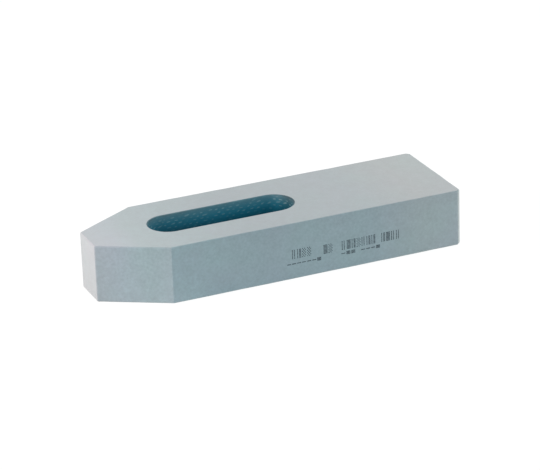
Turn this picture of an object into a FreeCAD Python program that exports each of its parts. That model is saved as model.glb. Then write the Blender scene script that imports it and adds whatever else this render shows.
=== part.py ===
"""Strap clamp: a flat steel bar with a tapered nose and a long through slot.

The clamp lies flat on its underside. Its nose points to -X and presses on the workpiece, its heel at +X
sits on a packing block, and a stud with a nut and washer passes through the slot along Z and pulls it down.
The origin is at the middle of the underside, halfway along the bar. Lengths are in millimetres.
"""
import FreeCAD, Part
import math
import os

import Sketcher
from FreeCAD import Vector

PART_NAME = "strap_clamp"
NEAR = 1e-4  # how far an edge's end may lie from the place that it is looked for at

doc = FreeCAD.newDocument("StrapClamp")

# The sizes of the clamp, one row each: alias, value in millimetres, what it is
SIZES = [
    ("length", 160.0, "from the tip of the nose to the heel"),
    ("width", 50.0, "of the bar"),
    ("thickness", 25.0, "of the bar"),
    ("nose_width", 17.0, "of the flat tip that the tapers run to"),
    ("taper_length", 27.5, "of the tapered nose, along the bar"),
    ("slot_width", 18.0, "clearance for a stud of 16 mm"),
    ("slot_length", 65.0, "from end to end, over both round ends"),
    ("slot_setback", 27.5, "from the tip of the nose to the slot"),
    ("edge_round", 0.6, "radius of the deburred edges round the top and the underside"),
    ("nose_corner_round", 0.8, "radius of the upright corners of the nose and shoulders"),
    ("heel_corner_break", 1.5, "chamfer on the two upright corners of the heel"),
    ("slot_rim_break", 0.5, "chamfer round both mouths of the slot"),
]

sheet = doc.addObject("Spreadsheet::Sheet", "Sizes")
sheet.set("A1", "size")
sheet.set("B1", "mm")
sheet.set("C1", "what it is")
for row, (alias, value, meaning) in enumerate(SIZES, start=2):
    sheet.set(f"A{row}", alias)
    sheet.set(f"B{row}", str(value))
    sheet.setAlias(f"B{row}", alias)
    sheet.set(f"C{row}", meaning)
doc.recompute()


def size(alias):
    """The value of one of the sizes, in millimetres."""
    return float(getattr(sheet, alias))


def origin_plane(body, role):
    """One of a body's own origin planes."""
    return next(plane for plane in body.Origin.OriginFeatures if plane.Role == role)


def new_sketch(body, name):
    """An empty sketch on the underside of the bar, the XY plane."""
    sketch = body.newObject("Sketcher::SketchObject", name)
    sketch.AttachmentSupport = (origin_plane(body, "XY_Plane"), [""])
    sketch.MapMode = "FlatFace"
    return sketch


def dimension(sketch, name, constraint, expression):
    """A named dimension of a sketch, tied to the sizes by an expression."""
    index = sketch.addConstraint(constraint)
    sketch.renameConstraint(index, name)
    sketch.setExpression(f"Constraints.{name}", expression)


START, END, CENTRE = 1, 2, 3  # the sketcher's numbers for the points of a line or an arc
AXIS_X, AXIS_Y = -1, -2  # and for the sketch's own axes
ORIGIN = (AXIS_X, START)


def draw_outline(body):
    """The bar seen from above: a rectangle whose nose tapers evenly from both sides to a flat tip."""
    tip_x = -size("length") / 2
    heel_x = size("length") / 2
    shoulder_x = tip_x + size("taper_length")
    half_nose = size("nose_width") / 2
    half_width = size("width") / 2
    corners = [
        Vector(tip_x, -half_nose, 0),
        Vector(shoulder_x, -half_width, 0),
        Vector(heel_x, -half_width, 0),
        Vector(heel_x, half_width, 0),
        Vector(shoulder_x, half_width, 0),
        Vector(tip_x, half_nose, 0),
    ]
    sketch = new_sketch(body, "BarOutline")
    lines = [
        sketch.addGeometry(Part.LineSegment(corner, corners[(i + 1) % len(corners)]), False)
        for i, corner in enumerate(corners)
    ]
    near_taper, near_side, heel, far_side, far_taper, tip = lines
    for i, line in enumerate(lines):
        following = lines[(i + 1) % len(lines)]
        sketch.addConstraint(Sketcher.Constraint("Coincident", line, END, following, START))
    sketch.addConstraint(Sketcher.Constraint("Horizontal", near_side))
    sketch.addConstraint(Sketcher.Constraint("Horizontal", far_side))
    sketch.addConstraint(Sketcher.Constraint("Symmetric", heel, START, heel, END, AXIS_X))
    sketch.addConstraint(Sketcher.Constraint("Symmetric", tip, START, tip, END, AXIS_X))
    sketch.addConstraint(Sketcher.Constraint("Vertical", near_side, START, far_side, END))
    dimension(sketch, "heel_x", Sketcher.Constraint("DistanceX", *ORIGIN, heel, START, heel_x),
              "Sizes.length / 2")
    dimension(sketch, "bar_length", Sketcher.Constraint("DistanceX", tip, END, heel, START, heel_x - tip_x),
              "Sizes.length")
    dimension(sketch, "bar_width", Sketcher.Constraint("DistanceY", heel, START, heel, END, 2 * half_width),
              "Sizes.width")
    dimension(sketch, "tip_width", Sketcher.Constraint("DistanceY", tip, END, tip, START, 2 * half_nose),
              "Sizes.nose_width")
    dimension(sketch, "taper", Sketcher.Constraint("DistanceX", near_taper, START, near_taper, END,
                                                   shoulder_x - tip_x),
              "Sizes.taper_length")
    return sketch


def draw_slot(body):
    """The slot seen from above: two straight walls joined by half circles as wide as the slot."""
    radius = size("slot_width") / 2
    nose_end_x = -size("length") / 2 + size("slot_setback") + radius
    heel_end_x = nose_end_x + size("slot_length") - 2 * radius
    up = Vector(0, 0, 1)
    sketch = new_sketch(body, "SlotOutline")
    nose_arc = sketch.addGeometry(
        Part.ArcOfCircle(Part.Circle(Vector(nose_end_x, 0, 0), up, radius), math.pi / 2, 3 * math.pi / 2), False)
    heel_arc = sketch.addGeometry(
        Part.ArcOfCircle(Part.Circle(Vector(heel_end_x, 0, 0), up, radius), -math.pi / 2, math.pi / 2), False)
    near_wall = sketch.addGeometry(
        Part.LineSegment(Vector(nose_end_x, -radius, 0), Vector(heel_end_x, -radius, 0)), False)
    far_wall = sketch.addGeometry(
        Part.LineSegment(Vector(heel_end_x, radius, 0), Vector(nose_end_x, radius, 0)), False)
    sketch.addConstraint(Sketcher.Constraint("Tangent", nose_arc, END, near_wall, START))
    sketch.addConstraint(Sketcher.Constraint("Tangent", near_wall, END, heel_arc, START))
    sketch.addConstraint(Sketcher.Constraint("Tangent", heel_arc, END, far_wall, START))
    sketch.addConstraint(Sketcher.Constraint("Tangent", far_wall, END, nose_arc, START))
    sketch.addConstraint(Sketcher.Constraint("PointOnObject", nose_arc, CENTRE, AXIS_X))
    sketch.addConstraint(Sketcher.Constraint("PointOnObject", heel_arc, CENTRE, AXIS_X))
    dimension(sketch, "end_radius", Sketcher.Constraint("Radius", nose_arc, radius),
              "Sizes.slot_width / 2")
    dimension(sketch, "nose_end_x", Sketcher.Constraint("DistanceX", nose_arc, CENTRE, *ORIGIN, -nose_end_x),
              "Sizes.length / 2 - Sizes.slot_setback - Sizes.slot_width / 2")
    dimension(sketch, "straight_length", Sketcher.Constraint("DistanceX", nose_arc, CENTRE, heel_arc, CENTRE,
                                                             heel_end_x - nose_end_x),
              "Sizes.slot_length - Sizes.slot_width")
    return sketch


def edges_where(feature, test):
    """The names of the feature's edges for which the test on the edge is true."""
    return [f"Edge{i}" for i, edge in enumerate(feature.Shape.Edges, start=1) if test(edge)]


def is_upright(edge):
    """A straight edge that runs up the bar."""
    if not isinstance(edge.Curve, Part.Line):
        return False
    return abs(abs(edge.tangentAt(edge.FirstParameter).z) - 1) < NEAR


def lies_flat(edge):
    """An edge that lies wholly in the top face or in the underside."""
    box = edge.BoundBox
    in_underside = abs(box.ZMin) < NEAR and abs(box.ZMax) < NEAR
    in_top = abs(box.ZMin - size("thickness")) < NEAR and abs(box.ZMax - size("thickness")) < NEAR
    return in_underside or in_top


def is_slot_rim(edge):
    """An edge round a mouth of the slot: every point of it is within half the slot's width of the middle."""
    reach = size("slot_width") / 2 + NEAR
    slot_start = -size("length") / 2 + size("slot_setback") - NEAR
    slot_end = slot_start + size("slot_length") + 2 * NEAR
    box = edge.BoundBox
    in_slot = max(abs(box.YMin), abs(box.YMax)) < reach and slot_start < box.XMin and box.XMax < slot_end
    return lies_flat(edge) and in_slot


def add_fillet(body, name, base, edges, radius):
    """Rounds the named edges of the base feature. The radius is the alias of one of the sizes."""
    fillet = body.newObject("PartDesign::Fillet", name)
    fillet.Base = (base, edges)
    fillet.setExpression("Radius", f"Sizes.{radius}")
    doc.recompute()
    return fillet


def add_chamfer(body, name, base, edges, leg):
    """Cuts an even chamfer along the named edges. The leg is the alias of one of the sizes."""
    chamfer = body.newObject("PartDesign::Chamfer", name)
    chamfer.Base = (base, edges)
    chamfer.setExpression("Size", f"Sizes.{leg}")
    doc.recompute()
    return chamfer


def build_clamp():
    """The whole clamp, one solid: the bar, its broken corners, the slot and the deburred edges."""
    body = doc.addObject("PartDesign::Body", "Clamp")
    body.Label = PART_NAME

    bar = body.newObject("PartDesign::Pad", "Bar")
    bar.Profile = draw_outline(body)
    bar.setExpression("Length", "Sizes.thickness")
    doc.recompute()

    # The heel is sawn off square, and its two upright corners are chamfered
    heel_x = size("length") / 2
    heel_corners = edges_where(bar, lambda edge: is_upright(edge) and edge.BoundBox.XMin > heel_x - NEAR)
    heel = add_chamfer(body, "HeelCorners", bar, heel_corners, "heel_corner_break")

    # The four upright corners of the nose and its shoulders are only taken off lightly
    shoulder_x = -heel_x + size("taper_length")
    nose_corners = edges_where(heel, lambda edge: is_upright(edge) and edge.BoundBox.XMax < shoulder_x + NEAR)
    nose = add_fillet(body, "NoseCorners", heel, nose_corners, "nose_corner_round")

    # Both faces are deburred all round before the slot is cut, so these are the outline's edges alone
    outline_edges = edges_where(nose, lies_flat)
    deburred = add_fillet(body, "DeburredOutline", nose, outline_edges, "edge_round")

    slot = body.newObject("PartDesign::Pocket", "Slot")
    slot.Profile = draw_slot(body)
    slot.Type = "ThroughAll"
    slot.Reversed = True
    doc.recompute()
    check_slot_volume(deburred, slot)

    add_chamfer(body, "SlotRims", slot, edges_where(slot, is_slot_rim), "slot_rim_break")
    body.Placement = FreeCAD.Placement()
    return body


def check_slot_volume(before, after):
    """The slot takes out exactly its own area times the bar's thickness."""
    radius = size("slot_width") / 2
    area = math.pi * radius**2 + size("slot_width") * (size("slot_length") - size("slot_width"))
    expected = area * size("thickness")
    removed = before.Shape.Volume - after.Shape.Volume
    if abs(removed - expected) > 1e-6 * expected:
        raise RuntimeError(f"the slot took out {removed:.1f} cubic mm, not {expected:.1f}")


def check_and_export(body):
    """Stops on any failed object or bad solid, then writes the clamp as a STEP file."""
    failed = [o.Name for o in doc.Objects if any(s in ("Invalid", "Error") for s in o.State)]
    if failed:
        raise RuntimeError(f"these objects failed: {failed}")
    shape = body.Shape
    if shape.isNull() or not shape.isValid() or len(shape.Solids) != 1:
        raise RuntimeError("the clamp isn't one valid solid")
    os.makedirs("parts", exist_ok=True)
    shape.exportStep(f"parts/{body.Label}.step")
    box = shape.BoundBox
    print(f"{body.Label}: {box.XLength:.2f} x {box.YLength:.2f} x {box.ZLength:.2f} mm, "
          f"{shape.Volume / 1000:.2f} cubic cm, {len(shape.Faces)} faces")


clamp = build_clamp()
doc.recompute()
check_and_export(clamp)
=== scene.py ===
# %% [markdown]
# # A strap clamp, dressed for its photograph
#
# A strap clamp is a plain bar of heat-treated steel that holds work down on a machine table. The packed
# model gives its exact form: a tapered nose, a square heel and a long slot for the stud. This lesson keeps
# that form and models what a drawing leaves out: edges broken by hand, the marks that a roughing cutter
# leaves down the slot, a satin varnish, and two lines of ink-jet dots. Everything is in metres, in the frame
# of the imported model, with the nose towards -X and the top towards +Z.

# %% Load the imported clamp
import math
import random

import bmesh
import bpy
from mathutils import Matrix, Vector, noise
from mathutils.bvhtree import BVHTree


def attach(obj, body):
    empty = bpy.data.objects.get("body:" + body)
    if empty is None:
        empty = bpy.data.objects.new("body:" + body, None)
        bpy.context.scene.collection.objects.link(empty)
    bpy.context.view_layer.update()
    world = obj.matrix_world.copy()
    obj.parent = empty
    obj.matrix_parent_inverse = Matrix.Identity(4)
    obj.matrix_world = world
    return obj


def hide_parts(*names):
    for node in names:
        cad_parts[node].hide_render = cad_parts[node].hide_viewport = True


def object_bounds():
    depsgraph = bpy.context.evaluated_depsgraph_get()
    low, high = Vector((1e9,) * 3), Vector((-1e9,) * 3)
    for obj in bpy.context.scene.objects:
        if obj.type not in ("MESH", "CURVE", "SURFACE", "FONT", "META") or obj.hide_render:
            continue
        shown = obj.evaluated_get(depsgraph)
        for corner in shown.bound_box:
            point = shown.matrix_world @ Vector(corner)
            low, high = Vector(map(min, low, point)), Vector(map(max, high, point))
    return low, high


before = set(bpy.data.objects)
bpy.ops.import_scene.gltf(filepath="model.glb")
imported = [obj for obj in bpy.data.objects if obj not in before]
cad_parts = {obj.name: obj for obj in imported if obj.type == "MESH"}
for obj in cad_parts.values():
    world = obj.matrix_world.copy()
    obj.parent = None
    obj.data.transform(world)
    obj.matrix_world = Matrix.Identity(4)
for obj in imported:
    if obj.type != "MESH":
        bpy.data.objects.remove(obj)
cad_low, cad_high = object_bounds()
cad_size = cad_high - cad_low
MM = 0.001


def in_mm(values):
    """Lengths in metres, rounded to hundredths of a millimetre for printing."""
    return [round(value / MM, 2) for value in values]


print("packed clamp, in mm:", in_mm(cad_size))

# %% [markdown]
# ## The sizes that the bar is modelled from
#
# The length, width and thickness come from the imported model, so the new bar can't drift from it. The nose
# and the slot are the real ones, in millimetres, and a later cell measures how far the finished bar lies
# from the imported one, which would show any slip.

# %% Sizes of the bar and its slot
length, width, thickness = cad_size
NOSE_WIDTH = 17 * MM
TAPER_LENGTH = 27.5 * MM
SLOT_WIDTH = 18 * MM
SLOT_LENGTH = 65 * MM
SLOT_SETBACK = 27.5 * MM

NOSE_CORNER_ROUND = 0.8 * MM
HEEL_CORNER_BREAK = 1.5 * MM
EDGE_BREAK = 0.6 * MM
SLOT_RIM_BREAK = 0.5 * MM

tip_x = -length / 2
heel_x = length / 2
shoulder_x = tip_x + TAPER_LENGTH
slot_radius = SLOT_WIDTH / 2
slot_nose_end = tip_x + SLOT_SETBACK + slot_radius
slot_heel_end = slot_nose_end + SLOT_LENGTH - SLOT_WIDTH
near_y = -width / 2
NEAR = 0.01 * MM
print("the slot's round ends are centred at x, in mm:", in_mm((slot_nose_end, slot_heel_end)))

# %% [markdown]
# ## The blank: a block with its nose sawn to a taper
#
# On the real clamp the blank is cut from flat bar, and two slanting cuts leave the narrow nose. It could be
# drawn as an outline and extruded, but a block that is cut is nearer to the workshop: a cube is added at
# the bar's size, and two bisecting planes take the corners off and close the cuts.

# %% Helpers for working by hand
def start_piece(name):
    """Names the object that was just added and puts its place and size into its mesh."""
    piece = bpy.context.object
    piece.name = name
    piece.data.name = name
    bpy.ops.object.transform_apply(location=True, rotation=True, scale=True)
    return piece


def pick(kind, test):
    """In edit mode, selects only the verts, edges or faces that pass a test, and returns their number."""
    bpy.ops.mesh.select_mode(type={"verts": "VERT", "edges": "EDGE", "faces": "FACE"}[kind])
    bpy.ops.mesh.select_all(action="DESELECT")
    shape = bmesh.from_edit_mesh(bpy.context.object.data)
    chosen = [part for part in getattr(shape, kind) if test(part)]
    for part in chosen:
        part.select_set(True)
    shape.select_flush_mode()
    bmesh.update_edit_mesh(bpy.context.object.data)
    return len(chosen)


# %% Cut the blank
bpy.ops.object.select_all(action="DESELECT")
bpy.ops.mesh.primitive_cube_add(size=1, location=(0, 0, thickness / 2), scale=(length, width, thickness))
bar = start_piece("clamp_bar")
bpy.ops.object.mode_set(mode="EDIT")
taper_depth = (width - NOSE_WIDTH) / 2
for side in (-1, 1):
    bpy.ops.mesh.select_all(action="SELECT")
    bpy.ops.mesh.bisect(
        plane_co=(shoulder_x, side * width / 2, 0),
        plane_no=(-taper_depth, side * TAPER_LENGTH, 0),
        use_fill=True,
        clear_outer=True,
    )
bpy.ops.object.mode_set(mode="OBJECT")
print("faces of the blank:", len(bar.data.polygons))

# %% [markdown]
# ## The upright corners
#
# The nose and its shoulders are only taken off lightly, and the two corners of the heel get a flat chamfer
# that catches the light as a pale strip. A bevel is measured along the faces, while a radius is given for
# the round, so the offset is worked out from how far each corner turns.

# %% Break the upright corners
def is_upright(edge):
    start, end = (vert.co for vert in edge.verts)
    return abs(end.z - start.z) > thickness / 2


def lies_at(x):
    return lambda edge: is_upright(edge) and abs(edge.verts[0].co.x - x) < NEAR


taper_turn = math.atan2(taper_depth, TAPER_LENGTH)
bpy.ops.object.mode_set(mode="EDIT")
corner_breaks = {
    "tip": (tip_x, NOSE_CORNER_ROUND * math.tan((math.pi / 2 - taper_turn) / 2), 3),
    "shoulders": (shoulder_x, NOSE_CORNER_ROUND * math.tan(taper_turn / 2), 2),
    "heel": (heel_x, HEEL_CORNER_BREAK, 1),
}
for place, (x, offset, segments) in corner_breaks.items():
    found = pick("edges", lies_at(x))
    bpy.ops.mesh.bevel(offset=offset, segments=segments, profile=0.5, affect="EDGES")
    print(f"{place}: {found} upright corners, bevelled by {offset / MM:.2f} mm")
bpy.ops.object.mode_set(mode="OBJECT")

# %% [markdown]
# ## Edges broken by hand
#
# A file or a belt takes the burr off the outline, and never quite evenly. The outline is first divided
# every couple of millimetres and bevelled, and then the width of the break wanders a little along its
# length. Each point slides within its own face, so the faces themselves stay flat. A noise texture on the
# material could fake this, but the line of light along the edge would stay ruler-straight.

# %% Divide and bevel the outline
OUTLINE_STEP = 2 * MM
WORTH_DIVIDING = 1.5 * OUTLINE_STEP


def lies_flat(edge):
    start, end = (vert.co for vert in edge.verts)
    low_enough = max(start.z, end.z) < NEAR
    high_enough = min(start.z, end.z) > thickness - NEAR
    return low_enough or high_enough


def edge_length(edge):
    start, end = (vert.co for vert in edge.verts)
    return (end - start).length


def edge_middle(edge):
    start, end = (vert.co for vert in edge.verts)
    return (start + end) / 2


bpy.ops.object.mode_set(mode="EDIT")
shape = bmesh.from_edit_mesh(bar.data)
long_edges = [
    (edge_middle(edge), round(edge_length(edge) / OUTLINE_STEP) - 1)
    for edge in shape.edges
    if lies_flat(edge) and edge_length(edge) > WORTH_DIVIDING
]
for middle, cuts in long_edges:
    pick("edges", lambda edge: (edge_middle(edge) - middle).length < NEAR)
    bpy.ops.mesh.subdivide(number_cuts=cuts)
found = pick("edges", lies_flat)
bpy.ops.mesh.bevel(offset=EDGE_BREAK, segments=3, profile=0.5, affect="EDGES")
bpy.ops.object.mode_set(mode="OBJECT")
print(f"{found} short edges round the outline, bevelled by {EDGE_BREAK / MM} mm")

# %% Let the break wander
BREAK_WANDER = 0.3
WANDER_LENGTH = 7 * MM
CORNER_REST = 2 * MM
taper_length_along = math.hypot(TAPER_LENGTH, taper_depth)
outline_sides = [
    (Vector((-1, 0)), Vector((tip_x, 0)), NOSE_WIDTH / 2),
    (Vector((1, 0)), Vector((heel_x, 0)), width / 2),
]
for side in (-1, 1):
    taper_middle = Vector(((tip_x + shoulder_x) / 2, side * (width + NOSE_WIDTH) / 4))
    taper_out = Vector((-taper_depth, side * TAPER_LENGTH)).normalized()
    long_middle = Vector(((shoulder_x + heel_x) / 2, side * width / 2))
    outline_sides.append((taper_out, taper_middle, taper_length_along / 2))
    outline_sides.append((Vector((0, side)), long_middle, (heel_x - shoulder_x) / 2))


def wander(point):
    """How much wider or narrower the break is here, as a share of its width."""
    return BREAK_WANDER * noise.noise(point / WANDER_LENGTH)


moved = 0
for vert in bar.data.vertices:
    depth = min(vert.co.z, thickness - vert.co.z)
    if depth > EDGE_BREAK + NEAR:
        continue
    for outward, middle, half_span in outline_sides:
        offset = Vector(vert.co.xy) - middle
        inset = -offset.dot(outward)
        along = offset.dot(Vector((-outward.y, outward.x)))
        if inset < EDGE_BREAK + NEAR and abs(along) < half_span - CORNER_REST:
            edge_z = 0 if vert.co.z < thickness / 2 else thickness
            sharp_point = Vector((*(vert.co.xy + inset * outward), edge_z))
            vert.co += (vert.co - sharp_point) * wander(sharp_point)
            moved += 1
            break
print("points of the break that were moved:", moved)

# %% [markdown]
# ## The slot, as a cutter travels it
#
# The slot is milled by a cutter that enters at one end, runs straight to the other and back. The cut is
# modelled the same way, as a solid to take away: a grid stands for the far wall, its end column is spun
# half round, pulled back along the near wall and spun again. The grid is fine, because it carries the
# cutter's marks later. The bar's faces are divided across at both ends of the straight, so that none has to
# run all round the slot, and a boolean then takes this solid out of the bar.

# %% Draw the cutter's path
WALL_STEP = 0.6 * MM
ROW_STEP = 0.2 * MM
RIM_ROW = 0.6 * MM
OVERSHOOT = 1 * MM
straight = slot_heel_end - slot_nose_end
straight_steps = round(straight / WALL_STEP)
arc_steps = round(math.pi * slot_radius / WALL_STEP)
wall_rows = round((thickness - 2 * RIM_ROW) / ROW_STEP)

bpy.ops.object.select_all(action="DESELECT")
bpy.ops.mesh.primitive_grid_add(
    x_subdivisions=straight_steps,
    y_subdivisions=wall_rows,
    size=1,
    location=((slot_nose_end + slot_heel_end) / 2, slot_radius, thickness / 2),
    rotation=(math.pi / 2, 0, 0),
)
bpy.context.object.scale = (straight, thickness - 2 * RIM_ROW, 1)
cut = start_piece("slot_cut")
bpy.ops.object.mode_set(mode="EDIT")
pick("verts", lambda vert: vert.co.x > slot_heel_end - NEAR)
bpy.ops.mesh.spin(steps=arc_steps, angle=math.pi, center=(slot_heel_end, 0, 0), axis=(0, 0, 1))
for step in range(straight_steps):
    bpy.ops.mesh.extrude_region_move(TRANSFORM_OT_translate={"value": (-straight / straight_steps, 0, 0)})
bpy.ops.mesh.spin(steps=arc_steps, angle=math.pi, center=(slot_nose_end, 0, 0), axis=(0, 0, 1))
bpy.ops.mesh.select_all(action="SELECT")
bpy.ops.mesh.remove_doubles(threshold=NEAR)
for rim, direction in ((thickness - RIM_ROW, 1), (RIM_ROW, -1)):
    pick("edges", lambda edge: all(abs(vert.co.z - rim) < NEAR for vert in edge.verts))
    reach = direction * (RIM_ROW + OVERSHOOT)
    bpy.ops.mesh.extrude_region_move(TRANSFORM_OT_translate={"value": (0, 0, reach)})
    bpy.ops.mesh.edge_face_add()
bpy.ops.mesh.select_all(action="SELECT")
bpy.ops.mesh.normals_make_consistent(inside=False)
bpy.ops.object.mode_set(mode="OBJECT")

# %% Take the slot out of the bar
bpy.ops.object.select_all(action="DESELECT")
bar.select_set(True)
bpy.context.view_layer.objects.active = bar
bpy.ops.object.mode_set(mode="EDIT")
for x in (slot_nose_end, slot_heel_end):
    bpy.ops.mesh.select_all(action="SELECT")
    bpy.ops.mesh.bisect(plane_co=(x, 0, 0), plane_no=(1, 0, 0))
bpy.ops.object.mode_set(mode="OBJECT")
milling = bar.modifiers.new("milling", "BOOLEAN")
milling.operation = "DIFFERENCE"
milling.solver = "EXACT"
milling.object = cut
bpy.ops.object.modifier_apply(modifier="milling")
bpy.data.objects.remove(cut)
print("faces of the slotted bar:", len(bar.data.polygons))


# %% Break the slot's rims
def is_slot_rim(edge):
    start, end = (vert.co for vert in edge.verts)
    in_slot = max(abs(start.y), abs(end.y)) < slot_radius + NEAR
    beyond_tip = min(start.x, end.x) > tip_x + SLOT_SETBACK - NEAR
    before_heel = max(start.x, end.x) < tip_x + SLOT_SETBACK + SLOT_LENGTH + NEAR
    return lies_flat(edge) and in_slot and beyond_tip and before_heel and edge_length(edge) < 2 * WALL_STEP


bpy.ops.object.mode_set(mode="EDIT")
found = pick("edges", is_slot_rim)
bpy.ops.mesh.bevel(offset=SLOT_RIM_BREAK, segments=2, profile=0.5, affect="EDGES")
bpy.ops.object.mode_set(mode="OBJECT")
print(f"{found} rim edges, bevelled by {SLOT_RIM_BREAK / MM} mm")

# %% [markdown]
# ## The roughing cutter's marks
#
# A roughing cutter has wavy teeth, and each tooth bites a little further along than the last. It leaves
# staggered rows of shallow scallops, whose crests show as short dashes of light in the dark slot. The
# product of two waves, one up the wall and one along it, gives just such staggered crests. They are made
# in the mesh, so that they catch light and stay in the exported model, and their height is also kept as
# an attribute for the finish.

# %% Press the marks into the wall
ROW_PITCH = 1.35 * MM
FEED_PITCH = 3.3 * MM
MARK_HEIGHT = 0.05 * MM
RIM_FADE = 0.5 * MM
PATCH_LENGTH = 5 * MM
SWAY_LENGTH = 4 * MM
PATCH_HEIGHT = 1.2 * MM
PATCH_LAYER = 3
SWAY_LAYER = 7
PATCH_LEVEL = 0.8
PATCH_CONTRAST = 1.2
ROW_SWAY = 0.9
BITE_SWAY = 2.5
CREST_SHARPNESS = 5
BITE_SHARPNESS = 3


def wall_place(point):
    """How far along the slot's wall a point is, and the direction into the steel there."""
    if point.x > slot_heel_end:
        centre, before = Vector((slot_heel_end, 0)), straight
    elif point.x < slot_nose_end:
        centre, before = Vector((slot_nose_end, 0)), 2 * straight + math.pi * slot_radius
    elif point.y > 0:
        return point.x - slot_nose_end, Vector((0, 1, 0))
    else:
        return straight + math.pi * slot_radius + slot_heel_end - point.x, Vector((0, -1, 0))
    out = (point.xy - centre).normalized()
    angle = math.atan2(out.x, out.y) if point.x > slot_heel_end else math.atan2(-out.x, -out.y)
    return before + slot_radius * angle, Vector((*out, 0))


def scallop(along, up):
    """The height of the marks as a share of MARK_HEIGHT, over 1 in the strongest patches, 0 at the rims."""
    fade = min(1, (min(up, thickness - up) - RIM_ROW) / RIM_FADE)
    patch = noise.noise(Vector((along / PATCH_LENGTH, up / PATCH_HEIGHT, PATCH_LAYER)))
    patchy = max(0, PATCH_LEVEL + PATCH_CONTRAST * patch)
    unsteady = noise.noise(Vector((along / SWAY_LENGTH, up / PATCH_HEIGHT, SWAY_LAYER)))
    row = math.cos(math.pi * up / ROW_PITCH + ROW_SWAY * unsteady)
    bite = math.cos(2 * math.pi * along / FEED_PITCH + BITE_SWAY * unsteady)
    return row * abs(row) ** CREST_SHARPNESS * math.tanh(BITE_SHARPNESS * bite) * fade * patchy


def on_slot_wall(point):
    nearest_x = min(max(point.x, slot_nose_end), slot_heel_end)
    from_middle = math.hypot(point.x - nearest_x, point.y)
    return abs(from_middle - slot_radius) < NEAR and RIM_ROW - NEAR < point.z < thickness - RIM_ROW + NEAR


marks = bar.data.attributes.new("scallop", "FLOAT", "POINT")
wall_points = [vert for vert in bar.data.vertices if on_slot_wall(vert.co)]
highest = 0
for vert in wall_points:
    along, into_steel = wall_place(vert.co)
    height = scallop(along, vert.co.z)
    vert.co -= into_steel * height * MARK_HEIGHT
    marks.data[vert.index].value = height
    highest = max(highest, height * MARK_HEIGHT)
print(f"{len(wall_points)} points of the wall carry marks up to {highest / MM:.3f} mm high")

# %% [markdown]
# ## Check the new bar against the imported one
#
# The mesh is cleaned, shaded smooth across its small bevels and weighted so that the flat faces stay flat,
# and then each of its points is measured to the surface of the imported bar. Only the wandering edges and
# the scallops should differ, by a tenth of a millimetre or so.

# %% Finish the mesh and measure it
SMOOTH_ANGLE = math.radians(40)

bpy.ops.object.mode_set(mode="EDIT")
bpy.ops.mesh.select_all(action="SELECT")
bpy.ops.mesh.remove_doubles(threshold=NEAR / 10)
bpy.ops.mesh.normals_make_consistent(inside=False)
bpy.ops.object.mode_set(mode="OBJECT")
bpy.ops.object.shade_smooth_by_angle(angle=SMOOTH_ANGLE)
bar.modifiers.new("flat_faces", "WEIGHTED_NORMAL").keep_sharp = True
bpy.ops.object.modifier_apply(modifier="flat_faces")

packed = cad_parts["strap_clamp"]
packed_surface = BVHTree.FromObject(packed, bpy.context.evaluated_depsgraph_get())
gaps = [packed_surface.find_nearest(vert.co)[3] for vert in bar.data.vertices]
edge_uses = {}
for face in bar.data.polygons:
    for key in face.edge_keys:
        edge_uses[key] = edge_uses.get(key, 0) + 1
open_edges = sum(uses != 2 for uses in edge_uses.values())
triangles = sum(len(face.vertices) - 2 for face in bar.data.polygons)
print(f"furthest from the packed bar: {max(gaps) / MM:.3f} mm")
print(f"open edges: {open_edges}, triangles: {triangles}")

# %% [markdown]
# ## Ink-jet dots on the side
#
# Bars like this are marked by an ink-jet coder, which spits columns of dots as the bar goes by. Here it
# prints plain blocks that say nothing, full, parted into upright bars or checked, in lines of the length
# and height that such a marking has, with a lower line of blocks and dashes below. One dot is modelled as
# a thin oval cake of ink, and its copies are placed on the side.

# %% One dot of ink
DOT_HALF_WIDTH = 0.22 * MM
DOT_HALF_HEIGHT = 0.29 * MM
INK_THICKNESS = 0.015 * MM

bpy.ops.object.select_all(action="DESELECT")
bpy.ops.mesh.primitive_cylinder_add(
    vertices=8,
    radius=1,
    depth=1,
    location=(0, near_y - INK_THICKNESS / 2, 0),
    rotation=(math.pi / 2, 0, 0),
)
bpy.context.object.scale = (DOT_HALF_WIDTH, DOT_HALF_HEIGHT, INK_THICKNESS)
dot = start_piece("ink_dot")
print("faces of a dot:", len(dot.data.polygons))

# %% Lines of small blocks
COLUMN_PITCH = 0.46 * MM
ROW_PITCH_TALL = 0.60 * MM
ROW_PITCH_LOW = 0.52 * MM
BLOCK_COLUMNS = 4
TALL_ROWS = 7
LOW_ROWS = 3
BLOCK_STEP = 5 * COLUMN_PITCH
TALL_PATTERNS = (
    lambda column, row: True,
    lambda column, row: column != 1,
    lambda column, row: column % 2 == 0,
    lambda column, row: (column + row) % 2 == 0,
)
LOW_PATTERNS = (
    lambda column, row: True,
    lambda column, row: row == 1,
)
TALL_LINES = [
    (1.2 * MM, 9.3 * MM, "1111"),
    (15.6 * MM, 8.8 * MM, "11"),
    (24.0 * MM, 8.9 * MM, "111111101111"),
]
LOW_LINES = [
    (-1.2 * MM, 6.3 * MM, "1111111"),
    (23.8 * MM, 6.5 * MM, "11101111"),
]
drawing = random.Random(7)


def dots_of_line(line, rows, row_pitch, patterns):
    """The place and size of each dot in a line of blocks, where a 1 is a block and a 0 is a gap."""
    start_x, base_z, blocks = line
    found = []
    for block, mark in enumerate(blocks):
        pattern = drawing.choice(patterns)
        for column in range(BLOCK_COLUMNS):
            for row in range(rows):
                if mark == "1" and pattern(column, row):
                    x = start_x + block * BLOCK_STEP + column * COLUMN_PITCH
                    found.append((x, base_z + row * row_pitch, drawing.uniform(0.85, 1.0)))
    return found


places = []
for line in TALL_LINES:
    places += dots_of_line(line, TALL_ROWS, ROW_PITCH_TALL, TALL_PATTERNS)
for line in LOW_LINES:
    places += dots_of_line(line, LOW_ROWS, ROW_PITCH_LOW, LOW_PATTERNS)
print("dots of ink:", len(places))


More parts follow.
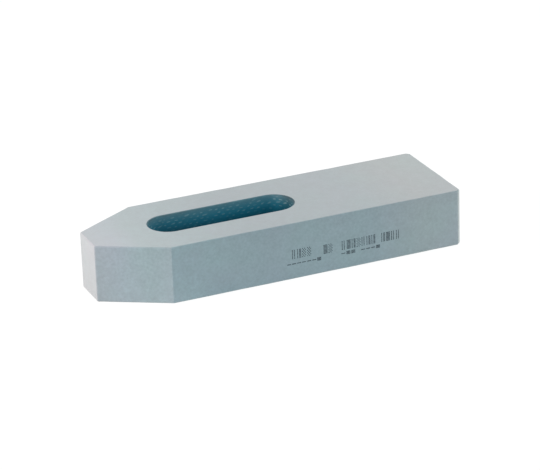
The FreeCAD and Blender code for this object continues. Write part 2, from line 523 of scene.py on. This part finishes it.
# %% Print the dots on the side
def copy_dot(x, z, size):
    """A copy of the dot with its own mesh, scaled and moved to its place on the side."""
    copy = dot.copy()
    copy.data = dot.data.copy()
    copy.data.transform(Matrix.Translation((x, 0, z)) @ Matrix.Diagonal((size, 1, size, 1)))
    bpy.context.scene.collection.objects.link(copy)
    return copy


bpy.ops.object.select_all(action="DESELECT")
copies = [copy_dot(*place) for place in places]
for copy in copies:
    copy.select_set(True)
bpy.context.view_layer.objects.active = copies[0]
bpy.ops.object.join()
ink = start_piece("ink_marks")
bpy.data.objects.remove(dot)
print("faces of the marking:", len(ink.data.polygons))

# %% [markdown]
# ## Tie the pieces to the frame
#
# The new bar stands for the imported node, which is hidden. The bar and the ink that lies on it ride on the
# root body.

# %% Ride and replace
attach(bar, "root")
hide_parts("strap_clamp")
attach(ink, "root")

# %% [markdown]
# ## Building materials from nodes
#
# A colour picked from a picture is in sRGB, while the shader works in linear light, so one function turns
# hex colours into linear ones. Another adds any node with its settings and its links, and the materials
# below are lists of such nodes. Every noise pattern reads Object coordinates, which are metres here, so a
# pattern's scale is one over its size.

# %% Helpers for materials
def colour(code):
    """A linear colour from an sRGB hex code such as "#8FA3A9"."""
    channels = (int(code[i:i + 2], 16) / 255 for i in (1, 3, 5))
    linear = [c / 12.92 if c <= 0.04045 else ((c + 0.055) / 1.055) ** 2.4 for c in channels]
    return (*linear, 1.0)


def new_material(name):
    """A material with nothing in its tree but an output."""
    material = bpy.data.materials.new(name)
    material.use_nodes = True
    material.node_tree.nodes.clear()
    return material


def add(material, kind, settings=None, links=None, stops=None):
    """Adds a node, sets its properties and inputs by name or number, links other outputs to its inputs, and
    gives a colour ramp its stops, each a share of the way and a colour."""
    made = material.node_tree.nodes.new("ShaderNode" + kind)
    for name, value in (settings or {}).items():
        if isinstance(name, str) and hasattr(made, name):
            setattr(made, name, value)
        else:
            made.inputs[name].default_value = value
    for name, output in (links or {}).items():
        material.node_tree.links.new(output, made.inputs[name])
    if stops:
        ramp = made.color_ramp.elements
        ramp[0].color = colour(stops[0][1])
        ramp[1].color = colour(stops[-1][1])
        for share, code in stops[1:-1]:
            ramp.new(share).color = colour(code)
    return made


MIX_FACTOR, MIX_A, MIX_B, MIX_COLOUR = 0, 6, 7, 2  # the sockets of a Mix node set to colours

# %% [markdown]
# ## Satin varnish on blasted steel
#
# After heat treatment such bars are blasted clean and varnished against rust. The varnish is a blue-grey
# film with a little metal in it: matt from straight on, with a soft white sheen at a low angle. Its colour
# is painted lighter towards the two ends and paler still on the top of the nose: painted light for how the
# light falls along the bar. Down the sides it is painted lighter towards the bottom, for light thrown back
# by the floor, and darker low on the nose, painted shade. Faint lilac and green clouds come from its
# uneven thickness. The grit of the blasting leaves pits of about 0.3 mm, which is under a pixel here, so
# the grain is drawn four times as coarse.

# %% The outside finish
CLOUD_SIZE = 22 * MM
MOTTLE_SIZE = 4 * MM
PEEL_SIZE = 2.2 * MM
GRAIN_SIZE = 1.2 * MM
# The varnish's own blue-grey, painted lighter towards both ends: painted light for how the light falls along
# the bar.
VARNISH_TONES_AND_PAINTED_LIGHT = [
    (0, "#A0AEB6"),
    (0.06, "#9FB1BA"),
    (0.12, "#96ADB2"),
    (0.21, "#9AADB4"),
    (0.41, "#91A3AA"),
    (0.74, "#95A5AC"),
    (0.89, "#9FA9AC"),
    (1, "#A1ACB0"),
]

varnish = new_material("satin_varnish_on_blasted_steel")
where = add(varnish, "TexCoord").outputs["Object"]
clouds = add(
    varnish,
    "TexNoise",
    {"Scale": 1 / CLOUD_SIZE, "Detail": 3.0, "Roughness": 0.55},
    {"Vector": where},
)
mottle = add(
    varnish,
    "TexNoise",
    {"Scale": 1 / MOTTLE_SIZE, "Detail": 2.0, "Roughness": 0.6},
    {"Vector": where},
)
grain = add(
    varnish,
    "TexNoise",
    {"Scale": 1 / GRAIN_SIZE, "Detail": 2.0, "Roughness": 0.6},
    {"Vector": where},
)
peel = add(varnish, "TexNoise", {"Scale": 1 / PEEL_SIZE, "Detail": 1.0}, {"Vector": where})
place_on_bar = add(varnish, "SeparateXYZ", links={"Vector": where})
along_bar = add(
    varnish,
    "MapRange",
    {"From Min": tip_x, "From Max": heel_x},
    {"Value": place_on_bar.outputs["X"]},
)
varnish_tone_and_painted_light = add(varnish, "ValToRGB", links={"Fac": along_bar.outputs["Result"]}, stops=VARNISH_TONES_AND_PAINTED_LIGHT)
cloud_tone = add(
    varnish,
    "Mix",
    {"data_type": "RGBA", MIX_A: colour("#FFF3FA"), MIX_B: colour("#F3FFF8")},
    {MIX_FACTOR: clouds.outputs["Fac"]},
)
# Darker low on the nose: painted shade.
painted_nose_shade = add(
    varnish,
    "MapRange",
    {"From Min": tip_x, "From Max": shoulder_x, "To Min": 0.88, "To Max": 1.06},
    {"Value": place_on_bar.outputs["X"]},
)
# Lighter towards the bottom: painted light for the light that the floor throws back.
painted_floor_light_by_height = add(
    varnish,
    "MapRange",
    {"From Min": 0, "From Max": thickness, "To Max": 0.94},
    {"Value": place_on_bar.outputs["Z"], "To Min": painted_nose_shade.outputs["Result"]},
)
# A pale colour on the top near the nose: painted light for the brighter light that falls there.
nose_light_share = add(
    varnish,
    "MapRange",
    {"From Min": tip_x, "From Max": slot_nose_end, "To Min": 0.27, "To Max": 0},
    {"Value": place_on_bar.outputs["X"]},
)
painted_top_light = add(
    varnish,
    "MapRange",
    {"From Min": thickness - EDGE_BREAK, "From Max": thickness - EDGE_BREAK / 4, "To Min": 0},
    {"Value": place_on_bar.outputs["Z"], "To Max": nose_light_share.outputs["Result"]},
)
mottle_tone = add(
    varnish,
    "MapRange",
    {"From Min": 0.3, "From Max": 0.7, "To Min": 0.955, "To Max": 1.045},
    {"Value": mottle.outputs["Fac"]},
)
grain_tone = add(
    varnish,
    "MapRange",
    {"From Min": 0.3, "From Max": 0.7, "To Min": 0.92, "To Max": 1.08},
    {"Value": grain.outputs["Fac"]},
)
speckle = add(
    varnish,
    "Math",
    {"operation": "MULTIPLY"},
    {0: mottle_tone.outputs["Result"], 1: grain_tone.outputs["Result"]},
)
# The painted light by height, times the random mottle and grain.
shade = add(
    varnish,
    "Math",
    {"operation": "MULTIPLY"},
    {0: painted_floor_light_by_height.outputs["Result"], 1: speckle.outputs["Value"]},
)
clouded = add(
    varnish,
    "VectorMath",
    {"operation": "MULTIPLY"},
    {0: varnish_tone_and_painted_light.outputs["Color"], 1: cloud_tone.outputs[MIX_COLOUR]},
)
toned = add(
    varnish,
    "VectorMath",
    {"operation": "MULTIPLY"},
    {0: clouded.outputs["Vector"], 1: shade.outputs["Value"]},
)
# Mixes in the pale painted light on the top near the nose.
varnish_with_painted_top_light = add(
    varnish,
    "Mix",
    {"data_type": "RGBA", MIX_B: colour("#D6D2DA")},
    {MIX_FACTOR: painted_top_light.outputs["Result"], MIX_A: toned.outputs["Vector"]},
)
sheen = add(
    varnish,
    "MapRange",
    {"From Min": 0.3, "From Max": 0.7, "To Min": 0.40, "To Max": 0.52},
    {"Value": grain.outputs["Fac"]},
)
orange_peel = add(
    varnish,
    "Bump",
    {"Strength": 0.25, "Distance": 0.02 * MM},
    {"Height": peel.outputs["Fac"]},
)
pits = add(
    varnish,
    "Bump",
    {"Strength": 0.2, "Distance": 0.015 * MM},
    {"Height": grain.outputs["Fac"], "Normal": orange_peel.outputs["Normal"]},
)
film = add(
    varnish,
    "BsdfPrincipled",
    {
        "Metallic": 0.2,
        "Coat Weight": 0.8,
        "Coat Roughness": 0.3,
        "Sheen Weight": 0.42,
        "Sheen Roughness": 0.5,
        "Sheen Tint": colour("#F8EEE4"),
    },
    {
        "Base Color": varnish_with_painted_top_light.outputs[MIX_COLOUR],
        "Roughness": sheen.outputs["Result"],
        "Normal": pits.outputs["Normal"],
    },
)
add(varnish, "OutputMaterial", links={"Surface": film.outputs["BSDF"]})
print("made", varnish.name)

# %% [markdown]
# ## A painted highlight on the heel's corner breaks
#
# The flat breaks on the upright corners of the heel get a paler colour, a painted highlight for the light
# that these chamfers catch, and are a little glossier. It shows as a light strip down the corner.

# %% The paler colour of the heel strips, a painted highlight
HEEL_STRIP_NOISE_SIZE = 1.6 * MM

heel_strip_highlight = new_material("heel_strip_painted_highlight")
where = add(heel_strip_highlight, "TexCoord").outputs["Object"]
heel_strip_noise = add(heel_strip_highlight, "TexNoise", {"Scale": 1 / HEEL_STRIP_NOISE_SIZE, "Detail": 3.0, "Roughness": 0.65}, {"Vector": where})
# Pale tones down the heel's corner breaks: a painted highlight.
heel_strip_highlight_tone = add(
    heel_strip_highlight,
    "Mix",
    {"data_type": "RGBA", MIX_A: colour("#B2B5B3"), MIX_B: colour("#CFD1CE")},
    {MIX_FACTOR: heel_strip_noise.outputs["Fac"]},
)
scratch = add(heel_strip_highlight, "Bump", {"Strength": 0.4, "Distance": 0.02 * MM}, {"Height": heel_strip_noise.outputs["Fac"]})
heel_strip_film = add(
    heel_strip_highlight,
    "BsdfPrincipled",
    {"Metallic": 0.2, "Roughness": 0.4, "Coat Weight": 0.4, "Coat Roughness": 0.3},
    {"Base Color": heel_strip_highlight_tone.outputs[MIX_COLOUR], "Normal": scratch.outputs["Normal"]},
)
add(heel_strip_highlight, "OutputMaterial", links={"Surface": heel_strip_film.outputs["BSDF"]})
print("made", heel_strip_highlight.name)

# %% [markdown]
# ## Petrol-blue walls of the slot
#
# Inside the slot the finish is petrol blue. A ramp over the depth makes it greyish at the rim and darker
# further down: the paint's own blue with painted shade for the light that the walls keep out. The crests of
# the cutter's marks get a paler colour, strongest near the rim, a painted highlight for their glints. The
# round of the heel end is darkened, painted shade, and the film is thin at the nose end, where the brownish
# steel greys it. The crests' height comes from the attribute that was kept when the marks were made, so
# colour and shape can't drift apart.

# %% The finish of the slot
BLOT_SIZE = 2.5 * MM
TOOTH_SIZE = 0.5 * MM
HEEL_SHADE_START = 5 * MM
HEEL_SHADE_END = 8.6 * MM
THIN_FILM_REACH = 30 * MM
BRIGHTEST_GLINT_DEPTH = 2 * MM
FAINTEST_GLINT_DEPTH = 8 * MM
RAMP_DEPTH = 10 * MM
# Greyish at the rim and darker with depth: the paint's own petrol blue with painted shade of the slot.
PETROL_TONES_AND_PAINTED_DEPTH_SHADE = [
    (0, "#607E87"),
    (0.07, "#6997A5"),
    (0.25, "#5292A5"),
    (0.42, "#378AA1"),
    (0.60, "#1F7C95"),
    (0.80, "#11667C"),
    (1, "#0A5468"),
]

petrol = new_material("petrol_varnish_on_rough_milled_steel")
where = add(petrol, "TexCoord").outputs["Object"]
crest = add(petrol, "Attribute", {"attribute_name": "scallop"})
place_in_slot = add(petrol, "SeparateXYZ", links={"Vector": where})
depth = add(
    petrol,
    "MapRange",
    {"From Min": thickness, "From Max": thickness - RAMP_DEPTH, "To Min": -0.06, "To Max": 0.94},
    {"Value": place_in_slot.outputs["Z"]},
)
blot = add(petrol, "TexNoise", {"Scale": 1 / BLOT_SIZE, "Detail": 3.0, "Roughness": 0.6}, {"Vector": where})
fine = add(petrol, "TexNoise", {"Scale": 1 / TOOTH_SIZE, "Detail": 2.0}, {"Vector": where})
blotted = add(
    petrol,
    "Math",
    {"operation": "MULTIPLY_ADD", 1: 0.12},
    {0: blot.outputs["Fac"], 2: depth.outputs["Result"]},
)
petrol_and_painted_depth_shade = add(petrol, "ValToRGB", links={"Fac": blotted.outputs["Value"]}, stops=PETROL_TONES_AND_PAINTED_DEPTH_SHADE)
# Darker round the heel end: painted shade.
painted_heel_end_shade = add(
    petrol,
    "MapRange",
    {
        "From Min": slot_heel_end + HEEL_SHADE_START,
        "From Max": slot_heel_end + HEEL_SHADE_END,
        "To Min": 1,
        "To Max": 0.47,
    },
    {"Value": place_in_slot.outputs["X"]},
)
petrol_and_painted_shade = add(
    petrol,
    "VectorMath",
    {"operation": "MULTIPLY"},
    {0: petrol_and_painted_depth_shade.outputs["Color"], 1: painted_heel_end_shade.outputs["Result"]},
)
thin_film_share = add(
    petrol,
    "MapRange",
    {
        "From Min": slot_nose_end - slot_radius,
        "From Max": slot_nose_end + THIN_FILM_REACH,
        "To Min": 0.06,
        "To Max": 0,
    },
    {"Value": place_in_slot.outputs["X"]},
)
greyed = add(
    petrol,
    "Mix",
    {"data_type": "RGBA", MIX_B: colour("#8A6F62")},
    {MIX_FACTOR: thin_film_share.outputs["Result"], MIX_A: petrol_and_painted_shade.outputs["Vector"]},
)
# Paler crests, strongest near the rim: a painted glint on the cutter's marks.
glint_strength_by_depth = add(
    petrol,
    "MapRange",
    {
        "From Min": thickness - FAINTEST_GLINT_DEPTH,
        "From Max": thickness - BRIGHTEST_GLINT_DEPTH,
        "To Min": 0.06,
        "To Max": 0.38,
    },
    {"Value": place_in_slot.outputs["Z"]},
)
painted_crest_glint = add(
    petrol,
    "MapRange",
    {"From Min": 0.1, "From Max": 0.6, "To Min": 0.0},
    {"Value": crest.outputs["Fac"], "To Max": glint_strength_by_depth.outputs["Result"]},
)
wall_tone = add(
    petrol,
    "Mix",
    {"data_type": "RGBA", MIX_B: colour("#B9DADD")},
    {MIX_FACTOR: painted_crest_glint.outputs["Result"], MIX_A: greyed.outputs[MIX_COLOUR]},
)
tooth = add(petrol, "Bump", {"Strength": 0.4, "Distance": 0.02 * MM}, {"Height": fine.outputs["Fac"]})
wall_film = add(
    petrol,
    "BsdfPrincipled",
    {"Metallic": 0.2, "Roughness": 0.6, "Specular IOR Level": 0.25},
    {"Base Color": wall_tone.outputs[MIX_COLOUR], "Normal": tooth.outputs["Normal"]},
)
add(petrol, "OutputMaterial", links={"Surface": wall_film.outputs["BSDF"]})
print("made", petrol.name)

# %% [markdown]
# ## Dried coder ink
#
# The ink is a dark blue-grey that dries matt. One flat colour would do from afar, but a fine noise, with
# flecks a little smaller than a dot, keeps the dots from all looking alike.

# %% The ink
FLECK_SIZE = 0.3 * MM

coder_ink = new_material("dried_solvent_ink")
where = add(coder_ink, "TexCoord").outputs["Object"]
fleck = add(coder_ink, "TexNoise", {"Scale": 1 / FLECK_SIZE, "Detail": 1.0}, {"Vector": where})
ink_tone = add(
    coder_ink,
    "Mix",
    {"data_type": "RGBA", MIX_A: colour("#18252E"), MIX_B: colour("#2E404B")},
    {MIX_FACTOR: fleck.outputs["Fac"]},
)
ink_film = add(
    coder_ink,
    "BsdfPrincipled",
    {"Roughness": 0.6},
    {"Base Color": ink_tone.outputs[MIX_COLOUR]},
)
add(coder_ink, "OutputMaterial", links={"Surface": ink_film.outputs["BSDF"]})
ink.data.materials.append(coder_ink)
print("made", coder_ink.name)

# %% [markdown]
# ## Lay the finishes on the bar
#
# Each face is told apart by its place: on the wall of the slot, on the flat strips of the heel's corners,
# or anywhere else on the outside.

# %% Give each face its finish
LEAST_SLANT = 0.6
LYING_FLAT = 0.95


def is_heel_strip(face):
    """Whether a face lies on a flat break of the heel's upright corners."""
    slants = abs(face.normal.x) > LEAST_SLANT and abs(face.normal.y) > LEAST_SLANT
    return slants and face.center.x > heel_x - HEEL_CORNER_BREAK


def finish_of(face):
    """0 for the varnish, 1 for a heel strip with a painted highlight, 2 for the slot's wall."""
    centre = face.center
    nearest_x = min(max(centre.x, slot_nose_end), slot_heel_end)
    from_middle = math.hypot(centre.x - nearest_x, centre.y)
    if from_middle < slot_radius + SLOT_RIM_BREAK and abs(face.normal.z) < LYING_FLAT:
        return 2
    return 1 if is_heel_strip(face) else 0


for material in (varnish, heel_strip_highlight, petrol):
    bar.data.materials.append(material)
counts = [0, 0, 0]
for face in bar.data.polygons:
    face.material_index = finish_of(face)
    counts[face.material_index] += 1
print("faces varnished, worn, in the slot:", counts)

# %% [markdown]
# ## A pale floor and soft light
#
# The photograph shows the clamp on plain white. The floor is white paper, and to the camera most of it
# shines at full white, so that it reads as the page while a soft shadow still lies on it. One large soft
# box stands to the left and a little behind, facing the nose. It isn't mirrored in the satin faces, which
# would blow out at a low angle. A pale world fills in from all round, faintly blue where it lights the bar,
# and white where it is seen or mirrored.

# %% The floor
FLOOR_SIZE = 12
FLOOR_DROP = 0.02 * MM
FIBRE_SIZE = 3 * MM
PAGE_SHARE = 0.92
PAGE_STRENGTH = 1.05

paper = new_material("white_paper_floor")
where = add(paper, "TexCoord").outputs["Object"]
fibre = add(paper, "TexNoise", {"Scale": 1 / FIBRE_SIZE, "Detail": 2.0}, {"Vector": where})
fibre_tone = add(
    paper,
    "Mix",
    {"data_type": "RGBA", MIX_A: colour("#F6F6F6"), MIX_B: colour("#FAFAFA")},
    {MIX_FACTOR: fibre.outputs["Fac"]},
)
sheet = add(paper, "BsdfDiffuse", links={"Color": fibre_tone.outputs[MIX_COLOUR]})
page = add(paper, "Emission", {"Strength": PAGE_STRENGTH})
rays = add(paper, "LightPath")
mirrored = add(
    paper,
    "Math",
    {"operation": "MAXIMUM"},
    {0: rays.outputs["Is Camera Ray"], 1: rays.outputs["Is Glossy Ray"]},
)
seen = add(
    paper,
    "Math",
    {"operation": "MAXIMUM"},
    {0: mirrored.outputs["Value"], 1: rays.outputs["Is Transmission Ray"]},
)
share = add(paper, "Math", {"operation": "MULTIPLY", 1: PAGE_SHARE}, {0: seen.outputs["Value"]})
surface = add(
    paper,
    "MixShader",
    links={0: share.outputs["Value"], 1: sheet.outputs["BSDF"], 2: page.outputs["Emission"]},
)
add(paper, "OutputMaterial", links={"Surface": surface.outputs["Shader"]})

bpy.ops.object.select_all(action="DESELECT")
bpy.ops.mesh.primitive_plane_add(size=FLOOR_SIZE, location=(0, 0, -FLOOR_DROP))
floor = start_piece("floor")
floor.data.materials.append(paper)
print("floor of", FLOOR_SIZE, "m")

# %% The lamp
SOFT_BOX_PLACE = Vector((-1.55, 0.35, 0.3))
SOFT_BOX_SIZE = 0.7
SOFT_BOX_POWER = 29.7

bpy.ops.object.light_add(type="AREA", location=SOFT_BOX_PLACE)
soft_box = bpy.context.object
soft_box.name = "nose_box"
towards_bar = Vector((0, 0, thickness / 2)) - SOFT_BOX_PLACE
soft_box.rotation_euler = towards_bar.to_track_quat("-Z", "Y").to_euler()
soft_box.data.size = SOFT_BOX_SIZE
soft_box.data.energy = SOFT_BOX_POWER
soft_box.data.color = colour("#FFD4C8")[:3]
soft_box.visible_glossy = False
print("soft box:", SOFT_BOX_POWER, "W")

# %% The world
world = bpy.data.worlds.new("white_studio")
bpy.context.scene.world = world
world.use_nodes = True
world.node_tree.nodes.clear()
rays = add(world, "LightPath")
mirrored = add(
    world,
    "Math",
    {"operation": "MAXIMUM"},
    {0: rays.outputs["Is Camera Ray"], 1: rays.outputs["Is Glossy Ray"]},
)
seen = add(
    world,
    "Math",
    {"operation": "MAXIMUM"},
    {0: mirrored.outputs["Value"], 1: rays.outputs["Is Transmission Ray"]},
)
sky_tone = add(
    world,
    "Mix",
    {"data_type": "RGBA", MIX_A: colour("#CEE2E7"), MIX_B: colour("#FFFFFF")},
    {MIX_FACTOR: seen.outputs["Value"]},
)
studio = add(world, "Background", links={"Color": sky_tone.outputs[MIX_COLOUR]})
add(world, "OutputWorld", links={"Surface": studio.outputs["Background"]})
bpy.context.scene.view_settings.view_transform = "Standard"
print("made the world", world.name)

# %% [markdown]
# ## The camera
#
# The photograph looks at the bar from the front left and from above, through a long lens. The angles,
# the distance and the lens were found by matching the corners of the bar. The frame's middle isn't the
# bar's, so the camera is stepped sideways until the middle of the bar's underside falls on its pixel.

# %% Place the camera
FRAME_WIDTH = 540
FRAME_HEIGHT = 470
SENSOR_WIDTH = 36
AZIMUTH = math.radians(-22.93)
ELEVATION = math.radians(22.88)
ROLL = math.radians(-2.0)
DISTANCE = 1.1916
PIXELS_PER_METRE = 2350.7
ORIGIN_PIXEL = (266.74, 258.60)

back = Vector((
    math.sin(AZIMUTH) * math.cos(ELEVATION),
    -math.cos(AZIMUTH) * math.cos(ELEVATION),
    math.sin(ELEVATION),
))
level_right = Vector((0, 0, 1)).cross(back).normalized()
level_up = back.cross(level_right)
right = math.cos(ROLL) * level_right + math.sin(ROLL) * level_up
up = math.cos(ROLL) * level_up - math.sin(ROLL) * level_right
step_right = (FRAME_WIDTH / 2 - ORIGIN_PIXEL[0]) / PIXELS_PER_METRE
step_up = (ORIGIN_PIXEL[1] - FRAME_HEIGHT / 2) / PIXELS_PER_METRE
place = back * DISTANCE + right * step_right + up * step_up
turned = Matrix((right, up, back)).transposed()

bpy.ops.object.camera_add(location=place, rotation=turned.to_euler())
camera = bpy.context.object
camera.data.sensor_width = SENSOR_WIDTH
camera.data.lens = PIXELS_PER_METRE * DISTANCE * SENSOR_WIDTH / FRAME_WIDTH
bpy.context.scene.camera = camera
print(f"camera at {[round(value, 3) for value in place]} m, lens {camera.data.lens:.1f} mm")
